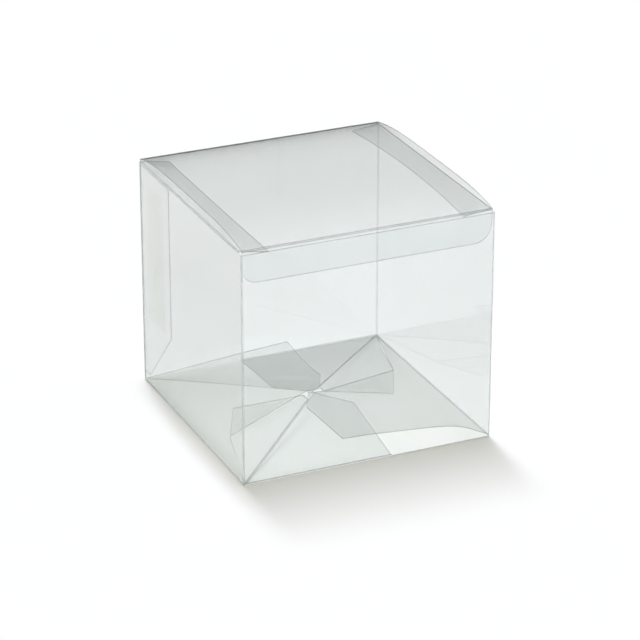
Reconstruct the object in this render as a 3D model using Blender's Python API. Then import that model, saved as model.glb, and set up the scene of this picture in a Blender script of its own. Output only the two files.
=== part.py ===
"""Clear folding box: one creased and glued sheet of clear plastic, with a tuck-in lid.

The box is cut and creased from a single sheet. It is modelled as it comes apart: one panel between each pair
of creases, the crease itself as a fine ridge on its fold line, and the three glue films that close it. Four
walls stand on a crash-lock bottom, whose flaps rise towards the middle. The lid swings on the top crease of
the back wall, its tuck flap goes inside the front wall, and two dust flaps lie under it.

Metres, +Z up. The origin is on the floor, in the middle of the footprint. The front wall faces -Y.
"""

from math import atan2, cos, hypot, pi, radians, sin, tan

import bmesh
import bpy
from mathutils import Matrix, Vector

MM = 0.001

# The whole box, outside, over the crease ridges. The lid bows up above them.
BOX_WIDTH = 120 * MM
BOX_DEPTH = 120 * MM
BOX_HEIGHT = 110 * MM

# The sheet, its crease ridges, and the room between parts that touch.
SHEET = 0.3 * MM
CREASE_RADIUS = 0.25 * MM
CREASE_SIDES = 8
FOLD_GAP = 0.3 * MM
LAYER_GAP = 0.3 * MM
GLUE_FILM = 0.1 * MM

# Front wall and lid.
FRONT_EDGE_DROP = 1.6 * MM
LID_SIDE_CLEARANCE = 0.9 * MM
LID_CROWN = 3.4 * MM
LID_CROWN_POWER = 4
LID_CROWN_STEPS = 15
TUCK_CLEARANCE = 0.6 * MM
TUCK_LENGTH = 16 * MM
TUCK_CORNER_RADIUS = 8 * MM
TUCK_LEAN = radians(6)
ARC_STEPS = 8

# Dust flaps, which droop under the lid by a little more on the left than on the right. A hollow is how far
# the middle of the free edge stands back from its ends.
DUST_FLAP_LENGTH = 14.2 * MM
DUST_FLAP_BACK_CLEARANCE = 3.6 * MM
DUST_FLAP_FRONT_CLEARANCE = 1.2 * MM
DUST_FLAP_CORNER_RADIUS = 3 * MM
DUST_FLAP_STEPS = 10
LEFT_DUST_DROOP = radians(9.5)
LEFT_DUST_HOLLOW = 0.4 * MM
RIGHT_DUST_DROOP = radians(6)
RIGHT_DUST_HOLLOW = 3 * MM

# Seam flap, glued inside the left wall.
SEAM_FLAP_WIDTH = 34.4 * MM
SEAM_FLAP_CHAMFER_RISE = 30 * MM
SEAM_FLAP_CHAMFER_RUN = 28 * MM
SEAM_FLAP_FOOT = 4.5 * MM
SEAM_FLAP_TOP_INSET = 1.5 * MM
SEAM_GLUE_MARGIN = 7 * MM

# Crash-lock bottom. Runs are along a wall, reaches are away from it.
BOTTOM_RISE = radians(7)
FOLDED_FLAP_RUN = 71 * MM
FOLDED_FLAP_LEAN = radians(3)
TAB_CORNER_RUN = 67.5 * MM
TAB_CORNER_REACH = 23 * MM
TAB_TIP_CUT = 5 * MM
LOCK_RELIEF_RUN = 43 * MM
LOCK_RELIEF_REACH = 11.4 * MM
LOCK_SLOT = 3 * MM
LOCK_NECK = 3.5 * MM
LOCK_HOOK_RUN = 17 * MM
LOCK_OVERREACH = 11 * MM
LOCK_OUTER_MARGIN = 7.5 * MM
LOCK_EAR_REACH = 26 * MM
LOCK_EAR_MARGIN = 11.5 * MM
TAB_GLUE_SHARE = 0.6

# Places that follow from the sizes above. Mid-planes of the panels meet on the axes of the creases.
EDGE_SETBACK = CREASE_RADIUS + FOLD_GAP
LAYER_PITCH = SHEET + LAYER_GAP
WALL_X = BOX_WIDTH / 2 - CREASE_RADIUS
WALL_Y = BOX_DEPTH / 2 - CREASE_RADIUS
FOOT_Z = CREASE_RADIUS
LID_Z = BOX_HEIGHT - CREASE_RADIUS
DUST_Z = LID_Z - LAYER_PITCH
TUCK_Y = -WALL_Y + SHEET / 2 + TUCK_CLEARANCE + CREASE_RADIUS
FRONT_TOP = BOX_HEIGHT - FRONT_EDGE_DROP
LID_HALF_WIDTH = BOX_WIDTH / 2 - LID_SIDE_CLEARANCE
RUN_X = 2 * WALL_X
RUN_Y = 2 * WALL_Y
SLOPE = tan(BOTTOM_RISE)

CLEAR_SHEET_COLOUR = (0.80, 0.84, 0.82, 1.0)
CREASE_COLOUR = (0.55, 0.58, 0.57, 1.0)
GLUE_COLOUR = (0.88, 0.88, 0.84, 1.0)


def clear_plastic(name, colour, roughness, alpha):
    """Clear, faintly green PVC: a glossy sheet, a duller crease or a dry glue film."""
    material = bpy.data.materials.new(name)
    material.use_nodes = True
    surface = material.node_tree.nodes["Principled BSDF"]
    surface.inputs["Base Color"].default_value = colour
    surface.inputs["Roughness"].default_value = roughness
    surface.inputs["Metallic"].default_value = 0.0
    surface.inputs["IOR"].default_value = 1.54
    surface.inputs["Alpha"].default_value = alpha
    return material


def sheet_plastic(name):
    """Material of one panel."""
    return clear_plastic(name + "_pvc", CLEAR_SHEET_COLOUR, 0.08, 0.30)


def crease_plastic(name):
    """Material of one crease, whitened and dulled where the sheet was pressed."""
    return clear_plastic(name + "_pressed_pvc", CREASE_COLOUR, 0.30, 0.60)


def glue(name):
    """Material of one dried glue film."""
    return clear_plastic(name + "_adhesive", GLUE_COLOUR, 0.20, 0.40)


def link(name, mesh, material):
    """Puts a mesh in the scene as a named object."""
    mesh.materials.append(material)
    piece = bpy.data.objects.new(name, mesh)
    bpy.context.scene.collection.objects.link(piece)
    return piece


def prism(name, lower, upper, material):
    """Closed solid between two outlines with the same number of points, counter-clockwise from above."""
    mesh = bpy.data.meshes.new(name)
    shape = bmesh.new()
    low = [shape.verts.new(point) for point in lower]
    high = [shape.verts.new(point) for point in upper]
    shape.faces.new(reversed(low))
    shape.faces.new(high)
    for i, corner in enumerate(low):
        following = (i + 1) % len(low)
        shape.faces.new((corner, low[following], high[following], high[i]))
    bmesh.ops.recalc_face_normals(shape, faces=shape.faces)
    shape.to_mesh(mesh)
    shape.free()
    return link(name, mesh, material)


def panel(name, outline, thickness, material):
    """Flat panel in its own XY plane, its mid-plane at Z = 0."""
    lower = [(x, y, -thickness / 2) for x, y in outline]
    upper = [(x, y, thickness / 2) for x, y in outline]
    return prism(name, lower, upper, material)


def place(piece, origin, across, up):
    """Puts a piece's X axis along across, its Y axis along up, and its origin at a point."""
    side = Vector(across).normalized()
    rise = Vector(up).normalized()
    turn = Matrix((side, rise, side.cross(rise))).transposed()
    piece.matrix_world = Matrix.Translation(origin) @ turn.to_4x4()
    return piece


def axis_empty(name, origin):
    """Empty on a joint's axis."""
    empty = bpy.data.objects.new(name, None)
    empty.empty_display_size = 5 * MM
    empty.location = origin
    bpy.context.scene.collection.objects.link(empty)
    return empty


def hang(piece, empty):
    """Parents a piece to an empty and leaves it where it is."""
    bpy.context.view_layer.update()
    world = piece.matrix_world.copy()
    piece.parent = empty
    piece.matrix_parent_inverse = empty.matrix_world.inverted()
    piece.matrix_world = world


def crease(name, start, end):
    """Fine ridge along a fold line, with flat faces at CREASE_RADIUS from its axis."""
    start = Vector(start)
    run = Vector(end) - start
    corner_radius = CREASE_RADIUS / cos(pi / CREASE_SIDES)
    angles = [2 * pi * (i + 0.5) / CREASE_SIDES for i in range(CREASE_SIDES)]
    ring = [(corner_radius * cos(a), corner_radius * sin(a)) for a in angles]
    ridge = prism(name, [(x, y, 0) for x, y in ring], [(x, y, run.length) for x, y in ring],
                  crease_plastic(name))
    along = run.normalized()
    side = Vector((0, 0, 1)) if abs(along.z) < 0.5 else Vector((1, 0, 0))
    side = (side - along * side.dot(along)).normalized()
    return place(ridge, start, side, along.cross(side))


def rectangle(left, bottom, right, top):
    """Outline of an upright rectangle."""
    return [(left, bottom), (right, bottom), (right, top), (left, top)]


def arc(centre, radius, start, end):
    """Points of an arc from one angle to another, both ends included."""
    return [(centre[0] + radius * cos(start + (end - start) * i / ARC_STEPS),
             centre[1] + radius * sin(start + (end - start) * i / ARC_STEPS)) for i in range(ARC_STEPS + 1)]


def cut(outline, start, end, setback=0.0):
    """Keeps what lies on the left of the line from start to end, and at least setback away from it."""
    run_x, run_y = end[0] - start[0], end[1] - start[1]
    length = hypot(run_x, run_y)

    def depth(point):
        return (run_x * (point[1] - start[1]) - run_y * (point[0] - start[0])) / length - setback

    kept = []
    for i, here in enumerate(outline):
        ahead = outline[(i + 1) % len(outline)]
        if depth(here) >= 0:
            kept.append(here)
        if depth(here) * depth(ahead) < 0:
            share = depth(here) / (depth(here) - depth(ahead))
            kept.append((here[0] + share * (ahead[0] - here[0]), here[1] + share * (ahead[1] - here[1])))
    return kept


def shrunk(outline, share):
    """Outline drawn in towards the mean of its corners."""
    mean_x = sum(x for x, _ in outline) / len(outline)
    mean_y = sum(y for _, y in outline) / len(outline)
    return [(mean_x + share * (x - mean_x), mean_y + share * (y - mean_y)) for x, y in outline]


def half_turn(points):
    """The same points on the opposite side of the box."""
    return [(-point[0], -point[1], *point[2:]) for point in points]


# Walls and corners


def build_walls():
    """Four walls, each between two corner creases and above its foot crease."""
    half_x = WALL_X - EDGE_SETBACK
    half_y = WALL_Y - EDGE_SETBACK
    foot = FOOT_Z + EDGE_SETBACK
    back_top = LID_Z - EDGE_SETBACK
    side_top = DUST_Z - EDGE_SETBACK
    outline = rectangle(-half_x, foot, half_x, FRONT_TOP)
    place(panel("front_wall", outline, SHEET, sheet_plastic("front_wall")),
          (0, -WALL_Y, 0), (1, 0, 0), (0, 0, 1))
    outline = rectangle(-half_x, foot, half_x, back_top)
    place(panel("back_wall", outline, SHEET, sheet_plastic("back_wall")),
          (0, WALL_Y, 0), (-1, 0, 0), (0, 0, 1))
    outline = rectangle(-half_y, foot, half_y, side_top)
    place(panel("right_wall", outline, SHEET, sheet_plastic("right_wall")),
          (WALL_X, 0, 0), (0, 1, 0), (0, 0, 1))
    outline = rectangle(-half_y, foot, half_y, side_top)
    place(panel("left_wall", outline, SHEET, sheet_plastic("left_wall")),
          (-WALL_X, 0, 0), (0, -1, 0), (0, 0, 1))


def build_corner_creases():
    """Upright crease at each corner, from the floor to the top of the front or the back wall."""
    for depth_name, y, top in (("front", -WALL_Y, FRONT_TOP), ("back", WALL_Y, BOX_HEIGHT)):
        for side_name, x in (("left", -WALL_X), ("right", WALL_X)):
            crease(f"{depth_name}_{side_name}_corner_crease", (x, y, 0), (x, y, top))


def build_foot_creases():
    """Crease along the foot of each wall. The box stands on these four ridges."""
    half_x = WALL_X - EDGE_SETBACK
    half_y = WALL_Y - EDGE_SETBACK
    crease("front_foot_crease", (-half_x, -WALL_Y, FOOT_Z), (half_x, -WALL_Y, FOOT_Z))
    crease("back_foot_crease", (half_x, WALL_Y, FOOT_Z), (-half_x, WALL_Y, FOOT_Z))
    crease("right_foot_crease", (WALL_X, -half_y, FOOT_Z), (WALL_X, half_y, FOOT_Z))
    crease("left_foot_crease", (-WALL_X, half_y, FOOT_Z), (-WALL_X, -half_y, FOOT_Z))


def build_seam():
    """Seam flap, folded in from the back wall and glued behind the back part of the left wall."""
    top = DUST_Z - EDGE_SETBACK - SEAM_FLAP_TOP_INSET
    near = SHEET / 2 + FOLD_GAP
    chamfer_top = SEAM_FLAP_FOOT + SEAM_FLAP_CHAMFER_RISE
    outline = [(near, SEAM_FLAP_FOOT), (SEAM_FLAP_WIDTH - SEAM_FLAP_CHAMFER_RUN, SEAM_FLAP_FOOT),
               (SEAM_FLAP_WIDTH, chamfer_top), (SEAM_FLAP_WIDTH, top), (near, top)]
    place(panel("seam_flap", outline, SHEET, sheet_plastic("seam_flap")),
          (-WALL_X + LAYER_PITCH, WALL_Y, 0), (0, -1, 0), (0, 0, 1))
    strip = rectangle(near + SEAM_GLUE_MARGIN, chamfer_top, SEAM_FLAP_WIDTH - SEAM_GLUE_MARGIN,
                      top - SEAM_GLUE_MARGIN)
    place(panel("seam_glue_film", strip, GLUE_FILM, glue("seam_glue_film")),
          (-WALL_X + LAYER_PITCH / 2, WALL_Y, 0), (0, -1, 0), (0, 0, 1))


# Crash-lock bottom. Outlines are plans seen from above, in box coordinates.


def folded_height(x, y):
    """Height of the front flap's mid-plane, which rises away from the front wall."""
    return FOOT_Z + (y + WALL_Y) * SLOPE


def tab_height(x, y):
    """Height of the front flap's glue tab, which rises away from the left wall."""
    return FOOT_Z + (x + WALL_X) * SLOPE


def lock_height(x, y):
    """Height of the left flap, one layer above the glue tab."""
    return tab_height(x, y) + LAYER_PITCH


def glue_height(x, y):
    """Height of the film between the glue tab and the left flap."""
    return tab_height(x, y) + LAYER_PITCH / 2


def bottom_pair(near_name, far_name, outline, height, thickness, make_material):
    """A sloping piece near the front left corner, and its copy a half turn round the box."""
    lower = [(x, y, height(x, y) - thickness / 2) for x, y in outline]
    upper = [(x, y, height(x, y) + thickness / 2) for x, y in outline]
    prism(near_name, lower, upper, make_material(near_name))
    prism(far_name, half_turn(lower), half_turn(upper), make_material(far_name))


def folded_flap_outline():
    """Front flap: from the diagonal crease to its slightly leaning free side, short of the box's middle."""
    corner = (-WALL_X, -WALL_Y)
    free_foot = (-WALL_X + FOLDED_FLAP_RUN, -WALL_Y)
    free_top = (free_foot[0] + sin(FOLDED_FLAP_LEAN), free_foot[1] + cos(FOLDED_FLAP_LEAN))
    outline = rectangle(-WALL_X, -WALL_Y + EDGE_SETBACK, WALL_X, 0)
    outline = cut(outline, (corner[0] + 1, corner[1] + 1), corner, EDGE_SETBACK)
    outline = cut(outline, free_foot, free_top)
    return cut(outline, (WALL_X, -WALL_Y), (WALL_X - 1, -WALL_Y + 1), EDGE_SETBACK)


def tab_outline():
    """Glue tab: from the diagonal crease to its far corner under the left flap."""
    corner = (-WALL_X, -WALL_Y)
    tab_corner = (-WALL_X + TAB_CORNER_REACH, -WALL_Y + TAB_CORNER_RUN)
    middle = (-TAB_TIP_CUT, 0)
    outline = rectangle(-WALL_X + EDGE_SETBACK, -WALL_Y + EDGE_SETBACK, -TAB_TIP_CUT, WALL_Y)
    outline = cut(outline, corner, (corner[0] + 1, corner[1] + 1), EDGE_SETBACK)
    outline = cut(outline, tab_corner, corner)
    return cut(outline, middle, tab_corner)


def lock_front_edge():
    """Line of the left flap's front edge, from its relief corner to the locking slot."""
    return ((-WALL_X + LOCK_RELIEF_REACH, -WALL_Y + LOCK_RELIEF_RUN), (-LOCK_NECK, LOCK_SLOT / 2))


def lock_flap_outline():
    """Left flap: relief at its front corner, hook past the middle, and an ear along the back wall."""
    hinge_x = -WALL_X + EDGE_SETBACK
    relief, neck = lock_front_edge()
    throat = (LOCK_NECK, LOCK_SLOT / 2)
    hook = (LOCK_OVERREACH, LOCK_HOOK_RUN)
    tip = (LOCK_OVERREACH - LOCK_NECK / 2, WALL_Y - LOCK_OUTER_MARGIN)
    ear = (-WALL_X + LOCK_EAR_REACH, WALL_Y - LOCK_EAR_MARGIN)
    radius = LOCK_EAR_MARGIN - 2 * EDGE_SETBACK
    centre = (hinge_x + radius, ear[1] + radius)
    curve = arc(centre, radius, -pi / 2, -pi)
    return [(hinge_x, -WALL_Y + EDGE_SETBACK), relief, neck, throat, hook, tip, ear, *curve]


def build_bottom():
    """Two folded flaps with glue tabs, two locking flaps over them, glue films and diagonal creases."""
    bottom_pair("front_bottom_flap", "back_bottom_flap", folded_flap_outline(), folded_height, SHEET,
                sheet_plastic)
    bottom_pair("front_glue_tab", "back_glue_tab", tab_outline(), tab_height, SHEET, sheet_plastic)
    bottom_pair("left_bottom_flap", "right_bottom_flap", lock_flap_outline(), lock_height, SHEET,
                sheet_plastic)
    film = shrunk(cut(tab_outline(), *lock_front_edge()), TAB_GLUE_SHARE)
    bottom_pair("front_tab_glue_film", "back_tab_glue_film", film, glue_height, GLUE_FILM, glue)
    start = -WALL_X + 2 * EDGE_SETBACK, -WALL_Y + 2 * EDGE_SETBACK
    reach = min(WALL_X, WALL_Y) - 2 * EDGE_SETBACK - TAB_TIP_CUT
    end = start[0] + reach, start[1] + reach
    line = [(*start, tab_height(*start)), (*end, tab_height(*end))]
    crease("front_diagonal_crease", *line)
    crease("back_diagonal_crease", *half_turn(line))


# Lid, tuck flap and dust flaps, each on its joint's axis


def lid_line(share):
    """Point (y, z) and upward normal of the bowed lid's mid-surface, from tuck axis (0) to hinge (1)."""
    middle, half = (WALL_Y + TUCK_Y) / 2, (WALL_Y - TUCK_Y) / 2
    s = 2 * share - 1
    slope = -LID_CROWN * LID_CROWN_POWER * s * abs(s) ** (LID_CROWN_POWER - 2) / half
    length = hypot(1, slope)
    height = LID_Z + LID_CROWN * (1 - abs(s) ** LID_CROWN_POWER)
    return (middle + s * half, height), (-slope / length, 1 / length)


def bowed_panel(name, material):
    """Lid panel: the sheet's section along the box, bowed upwards, as wide as the lid."""
    margin = EDGE_SETBACK / (WALL_Y - TUCK_Y)
    under, over = [], []
    for i in range(LID_CROWN_STEPS + 1):
        share = margin + (1 - 2 * margin) * i / LID_CROWN_STEPS
        (y, z), (normal_y, normal_z) = lid_line(share)
        under.append((y - normal_y * SHEET / 2, z - normal_z * SHEET / 2))
        over.append((y + normal_y * SHEET / 2, z + normal_z * SHEET / 2))
    mesh = bpy.data.meshes.new(name)
    shape = bmesh.new()
    rows = [[shape.verts.new((x, *point)) for point in line]
            for line in (under, over) for x in (-LID_HALF_WIDTH, LID_HALF_WIDTH)]
    left_under, right_under, left_over, right_over = rows
    ring = (left_under, right_under, right_over, left_over)
    for near, far in zip(ring, ring[1:] + ring[:1]):
        for i in range(LID_CROWN_STEPS):
            shape.faces.new((near[i], near[i + 1], far[i + 1], far[i]))
    for end in (0, -1):
        shape.faces.new([line[end] for line in ring])
    bmesh.ops.recalc_face_normals(shape, faces=shape.faces)
    shape.to_mesh(mesh)
    shape.free()
    return link(name, mesh, material)


def build_lid():
    """Bowed lid panel between its hinge crease on the back wall and its tuck crease."""
    hinge = axis_empty("lid_axis", (0, WALL_Y, LID_Z))
    half_x = WALL_X - EDGE_SETBACK
    crease("lid_hinge_crease", (-half_x, WALL_Y, LID_Z), (half_x, WALL_Y, LID_Z))
    lid = bowed_panel("lid_panel", sheet_plastic("lid_panel"))
    ridge = crease("tuck_crease", (-LID_HALF_WIDTH, TUCK_Y, LID_Z), (LID_HALF_WIDTH, TUCK_Y, LID_Z))
    hang(lid, hinge)
    hang(ridge, hinge)
    return hinge


def build_tuck_flap(hinge):
    """Tuck flap with two round corners, which leans into the box so that it clears the front wall."""
    axis = axis_empty("tuck_axis", (0, TUCK_Y, LID_Z))
    hang(axis, hinge)
    half = LID_HALF_WIDTH
    radius = TUCK_CORNER_RADIUS
    outline = [(half, -EDGE_SETBACK), (-half, -EDGE_SETBACK),
               *arc((-half + radius, -TUCK_LENGTH + radius), radius, -pi, -pi / 2),
               *arc((half - radius, -TUCK_LENGTH + radius), radius, -pi / 2, 0)]
    flap = place(panel("tuck_flap", outline, SHEET, sheet_plastic("tuck_flap")), (0, TUCK_Y, LID_Z),
                 (1, 0, 0), (0, -sin(TUCK_LEAN), cos(TUCK_LEAN)))
    hang(flap, axis)


def build_dust_flap(side_name, side, droop, hollow):
    """Dust flap that reaches in from the top of a side wall. Side is -1 for the left and 1 for the right."""
    x = side * WALL_X
    half_y = WALL_Y - EDGE_SETBACK
    crease(f"{side_name}_dust_crease", (x, -half_y, DUST_Z), (x, half_y, DUST_Z))
    deepest = LID_Z - DUST_Z + DUST_FLAP_LENGTH * sin(droop)
    front = TUCK_Y + deepest * tan(TUCK_LEAN) + SHEET + DUST_FLAP_FRONT_CLEARANCE
    back = WALL_Y - DUST_FLAP_BACK_CLEARANCE
    radius = DUST_FLAP_CORNER_RADIUS
    reach = DUST_FLAP_LENGTH
    shares = [i / DUST_FLAP_STEPS for i in range(1, DUST_FLAP_STEPS + 1)]
    edge = [(back - radius + (front - back + radius) * share, reach - hollow * (1 - (2 * share - 1) ** 2))
            for share in shares]
    outline = [(front, EDGE_SETBACK), (back, EDGE_SETBACK),
               *arc((back - radius, reach - radius), radius, 0, pi / 2), *edge]
    flap = panel(f"{side_name}_dust_flap", outline, SHEET, sheet_plastic(f"{side_name}_dust_flap"))
    place(flap, (x, 0, DUST_Z), (0, 1, 0), (-side * cos(droop), 0, -sin(droop)))
    hang(flap, axis_empty(f"{side_name}_dust_axis", (x, 0, DUST_Z)))


def main():
    for old in list(bpy.data.objects):
        bpy.data.objects.remove(old, do_unlink=True)
    build_walls()
    build_corner_creases()
    build_foot_creases()
    build_seam()
    build_bottom()
    hinge = build_lid()
    build_tuck_flap(hinge)
    build_dust_flap("left", -1, LEFT_DUST_DROOP, LEFT_DUST_HOLLOW)
    build_dust_flap("right", 1, RIGHT_DUST_DROOP, RIGHT_DUST_HOLLOW)


main()
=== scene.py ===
"""Looks of a clear folding carton: one die-cut, creased and glued sheet of rigid PVC with a tuck-in lid.

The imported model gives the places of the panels, the creases and the axes. Every panel is made again here as a
thin sheet with its cut edges, and every crease as a small rounded fold that joins two panels. The studio is a
white floor under a strip of soft lamps.

Metres, +Z up. The front wall faces -Y.
"""

from __future__ import annotations

import logging
from dataclasses import dataclass, field
from enum import Enum
from math import atan2, cos, pi, radians, sin, tan
from typing import Any, Callable

import bpy
import numpy as np
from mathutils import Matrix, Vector


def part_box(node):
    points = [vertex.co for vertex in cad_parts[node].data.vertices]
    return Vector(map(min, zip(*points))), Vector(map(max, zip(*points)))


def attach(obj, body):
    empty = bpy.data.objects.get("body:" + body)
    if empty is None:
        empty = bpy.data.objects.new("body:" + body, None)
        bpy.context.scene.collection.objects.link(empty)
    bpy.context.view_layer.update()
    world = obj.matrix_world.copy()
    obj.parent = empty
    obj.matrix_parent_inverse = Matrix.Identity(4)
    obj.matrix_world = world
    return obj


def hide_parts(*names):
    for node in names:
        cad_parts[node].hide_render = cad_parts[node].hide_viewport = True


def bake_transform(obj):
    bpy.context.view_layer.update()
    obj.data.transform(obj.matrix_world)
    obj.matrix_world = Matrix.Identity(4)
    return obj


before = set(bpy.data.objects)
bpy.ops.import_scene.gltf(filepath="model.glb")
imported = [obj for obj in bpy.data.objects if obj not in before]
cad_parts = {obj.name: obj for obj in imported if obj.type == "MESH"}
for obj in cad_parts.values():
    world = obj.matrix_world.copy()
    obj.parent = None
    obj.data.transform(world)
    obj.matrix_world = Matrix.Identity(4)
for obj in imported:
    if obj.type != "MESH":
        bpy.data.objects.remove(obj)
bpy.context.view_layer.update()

MM = 0.001
WIDEST_INSET = 0.3
HANDLE_SHARE = 0.55
SHARP_ANGLE = radians(40)
LOG = logging.getLogger("carton")
Height = Callable[[np.ndarray, np.ndarray], np.ndarray]


class Body(Enum):
    """Parts of the carton that move as one."""

    CARTON = "carton"
    LID = "lid"
    TUCK = "tuck"
    LEFT_DUST = "left_dust"
    RIGHT_DUST = "right_dust"


class Slot(Enum):
    """Finishes of the record, listed by name; nothing here gives them to the pieces."""

    SHEET = "clear_sheet"
    CREASE = "pressed_crease"


class Side(Enum):
    """Side walls, by the sign of their X."""

    LEFT = -1
    RIGHT = 1


# Materials


def linear(hex_colour: str) -> tuple[float, float, float, float]:
    """Turns an sRGB colour into the linear one that a socket takes.

    Args:
        hex_colour: colour such as "#F4F8F6".

    Returns:
        Linear red, green and blue, and an alpha of 1.
    """
    channels = np.array([int(hex_colour[i:i + 2], 16) for i in (1, 3, 5)]) / 255
    curve = np.where(channels <= 0.04045, channels / 12.92, ((channels + 0.055) / 1.055) ** 2.4)
    return (*curve.tolist(), 1.0)


def add_node(tree: bpy.types.NodeTree, kind: str, settings: dict[str, Any] | None = None,
             inputs: dict[str | int, Any] | None = None) -> bpy.types.Node:
    """Adds one node with its settings and links.

    Args:
        tree: node tree that gets the node.
        kind: Blender's name of the node's type.
        settings: values of the node's own properties.
        inputs: a value, or the output to link from, for each input socket.

    Returns:
        The new node.
    """
    node = tree.nodes.new(kind)
    for name, value in (settings or {}).items():
        setattr(node, name, value)
    for name, value in (inputs or {}).items():
        if isinstance(value, bpy.types.NodeSocket):
            tree.links.new(value, node.inputs[name])
        else:
            node.inputs[name].default_value = value
    return node


def new_material(name: str) -> tuple[bpy.types.Material, bpy.types.NodeTree, bpy.types.Node]:
    """Makes an empty node material.

    Args:
        name: name of the material.

    Returns:
        The material, its node tree and its output node.
    """
    material = bpy.data.materials.new(name)
    material.use_nodes = True
    material.node_tree.nodes.clear()
    return material, material.node_tree, add_node(material.node_tree, "ShaderNodeOutputMaterial")


def fresnel_share(tree: bpy.types.NodeTree, ior: float) -> bpy.types.NodeSocket:
    """Adds the share of light that either face of a sheet mirrors, by Fresnel's law.

    Blender turns the index round on a back face, so it gets the inverse there, and both faces mirror alike.

    Args:
        tree: node tree that gets the nodes.
        ior: the sheet's index of refraction.

    Returns:
        Output with the share.
    """
    surface = add_node(tree, "ShaderNodeNewGeometry")
    index = add_node(tree, "ShaderNodeMix", {"data_type": "FLOAT"}, {
        0: surface.outputs["Backfacing"], 2: ior, 3: 1 / ior})
    return add_node(tree, "ShaderNodeFresnel", {}, {"IOR": index.outputs[0]}).outputs[0]


@dataclass(frozen=True)
class CalenderedPvc:
    """Rigid PVC sheet, rolled between polished calender bowls.

    The eye sees through it almost as if it weren't there: a faint cool grey, a mirror that grows towards
    grazing angles, a breath of haze with slow streaks along the roll, and a darker line painted along each cut
    edge and
    each soft bend: painted shade where light that runs inside the sheet, and light that a bend turns, doesn't
    come out towards the eye. A layer that is glued to another mirrors little, because the glue wets both. A
    mirror tint below white is painted shade in what the sheet mirrors. The shadow tint is the light that
    reaches the floor through the sheet, without what the sheet turns away at a grazing angle.
    """

    name: str = "calendered_rigid_pvc"
    face_tint: str = "#FAFBFB"
    mirror_tint: str = "#FFFFFF"
    shadow_tint: str = "#FDFDFC"
    glued_gloss: float = 0.15
    ior: float = 1.54
    gloss_roughness: float = 0.04
    haze_colour: str = "#F2F5F3"
    haze: float = 0.012
    haze_roughness: float = 0.6
    haze_swing: tuple[float, float] = (0.4, 1.6)
    streak_range: tuple[float, float] = (0.35, 0.75)
    haze_streak_mm: float = 45
    streak_stretch: float = 0.25
    edge_colour: str = "#8F9593"
    edge_cover: float = 0.28
    edge_roughness: float = 0.25

    def build(self) -> bpy.types.Material:
        """Makes the material of the sheet's two faces.

        Returns:
            A material of clear transmission and a mirror, shared by Fresnel's law on both faces.
        """
        material, tree, output = new_material(self.name)
        place = add_node(tree, "ShaderNodeTexCoord")
        stretch = add_node(tree, "ShaderNodeMapping", {}, {
            "Vector": place.outputs["Object"], "Scale": (1, 1, self.streak_stretch)})
        streaks = add_node(tree, "ShaderNodeTexNoise", {}, {
            "Vector": stretch.outputs["Vector"], "Scale": 1 / (self.haze_streak_mm * MM), "Detail": 3.0})
        haze_share = add_node(tree, "ShaderNodeMapRange", {}, {
            "Value": streaks.outputs["Fac"],
            "From Min": self.streak_range[0], "From Max": self.streak_range[1],
            "To Min": self.haze * self.haze_swing[0], "To Max": self.haze * self.haze_swing[1]})
        glue = add_node(tree, "ShaderNodeAttribute", {"attribute_name": "glued"})
        gloss = add_node(tree, "ShaderNodeMapRange", {}, {
            "Value": glue.outputs["Fac"], "To Min": 1.0, "To Max": self.glued_gloss})
        mirror_share = add_node(tree, "ShaderNodeMath", {"operation": "MULTIPLY"}, {
            0: fresnel_share(tree, self.ior), 1: gloss.outputs["Result"]})
        clear = add_node(tree, "ShaderNodeBsdfTransparent", {}, {"Color": linear(self.face_tint)})
        # A mirror tint below white is painted shade in what the sheet mirrors.
        mirror = add_node(tree, "ShaderNodeBsdfAnisotropic", {}, {
            "Color": linear(self.mirror_tint), "Roughness": self.gloss_roughness})
        milky = add_node(tree, "ShaderNodeBsdfPrincipled", {}, {
            "Base Color": linear(self.haze_colour), "Roughness": self.haze_roughness,
            "Specular IOR Level": 0.0})
        body = add_node(tree, "ShaderNodeMixShader", {}, {
            0: haze_share.outputs["Result"], 1: clear.outputs[0], 2: milky.outputs[0]})
        sheet = add_node(tree, "ShaderNodeMixShader", {}, {
            0: mirror_share.outputs[0], 1: body.outputs[0], 2: mirror.outputs[0]})
        # Painted shade: a darker line along cut edges and soft bends.
        edge_line = add_node(tree, "ShaderNodeAttribute", {"attribute_name": "edge_line"})
        edge_share = add_node(tree, "ShaderNodeMath", {"operation": "MULTIPLY"}, {
            0: edge_line.outputs["Fac"], 1: self.edge_cover})
        edge = add_node(tree, "ShaderNodeBsdfPrincipled", {}, {
            "Base Color": linear(self.edge_colour), "Roughness": self.edge_roughness, "IOR": self.ior})
        seen = add_node(tree, "ShaderNodeMixShader", {}, {
            0: edge_share.outputs[0], 1: sheet.outputs[0], 2: edge.outputs[0]})
        path = add_node(tree, "ShaderNodeLightPath")
        shade = add_node(tree, "ShaderNodeBsdfTransparent", {}, {"Color": linear(self.shadow_tint)})
        whole = add_node(tree, "ShaderNodeMixShader", {}, {
            0: path.outputs["Is Shadow Ray"], 1: seen.outputs[0], 2: shade.outputs[0]})
        tree.links.new(whole.outputs[0], output.inputs["Surface"])
        return material


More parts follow.
